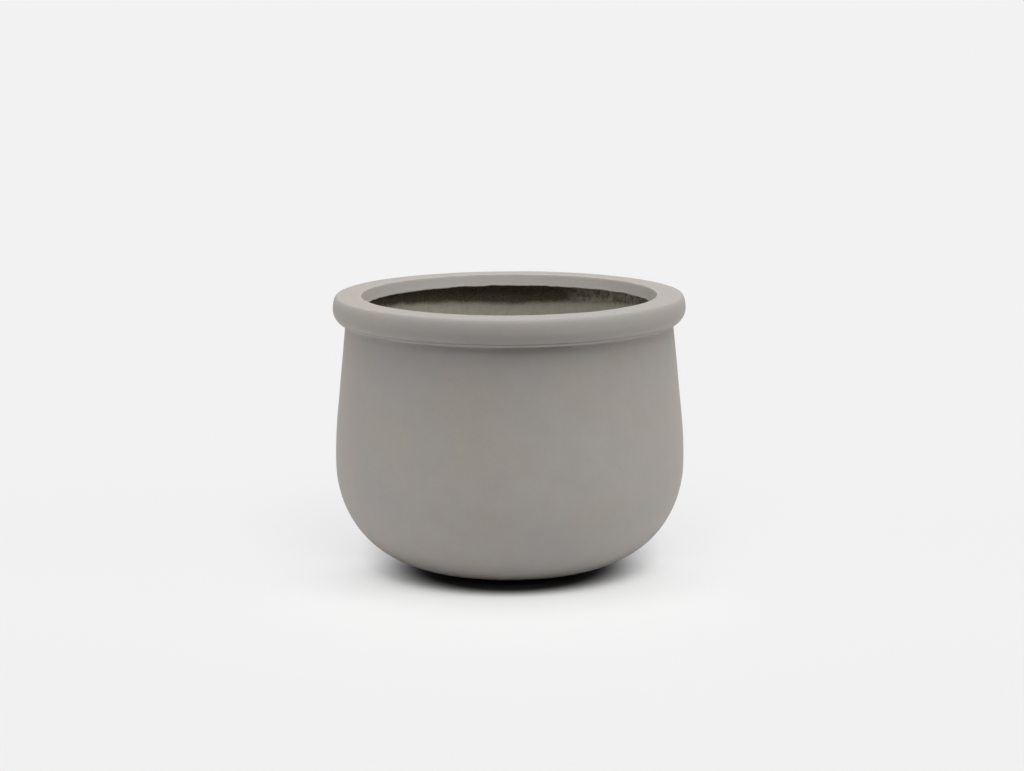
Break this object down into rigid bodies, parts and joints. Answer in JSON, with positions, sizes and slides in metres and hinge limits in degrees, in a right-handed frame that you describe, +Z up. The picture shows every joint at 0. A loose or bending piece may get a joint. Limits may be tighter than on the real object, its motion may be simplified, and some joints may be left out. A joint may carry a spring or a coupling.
{
  "type": "bowl planter",
  "caption": "Round concrete bowl planter with a flat-topped rolled rim, a straight flaring wall, a low rounded belly on a flat base, and a drain hole closed by a lift-out stopper.",
  "frame": {"origin": "centre of the base, on the surface that the planter stands on", "axes": "+Z up the planter's axis, out of its mouth; round about Z, so X and Y are alike"},
  "size_m": [0.425, 0.425, 0.3185],
  "materials": {
    "finished_concrete": "matt, fine-cast and sealed",
    "raw_concrete": "raw, pitted, hand laid",
    "trowelled_concrete": "raw, trowelled",
    "drain_plastic": "matt",
    "stopper_rubber": "matt"
  },
  "bodies": {
    "planter": {"rim_ring": "finished_concrete", "face_shell": "finished_concrete", "fibre_backing": "raw_concrete", "base_slab": "trowelled_concrete", "drain_sleeve": "drain_plastic"},
    "stopper": {"drain_stopper": "stopper_rubber"}
  },
  "joints": [
    {"name": "stopper_lift", "type": "slide", "parent": "planter", "child": "stopper", "axis": [0, 0, 1], "range_m": [0, 0.35]}
  ]
}
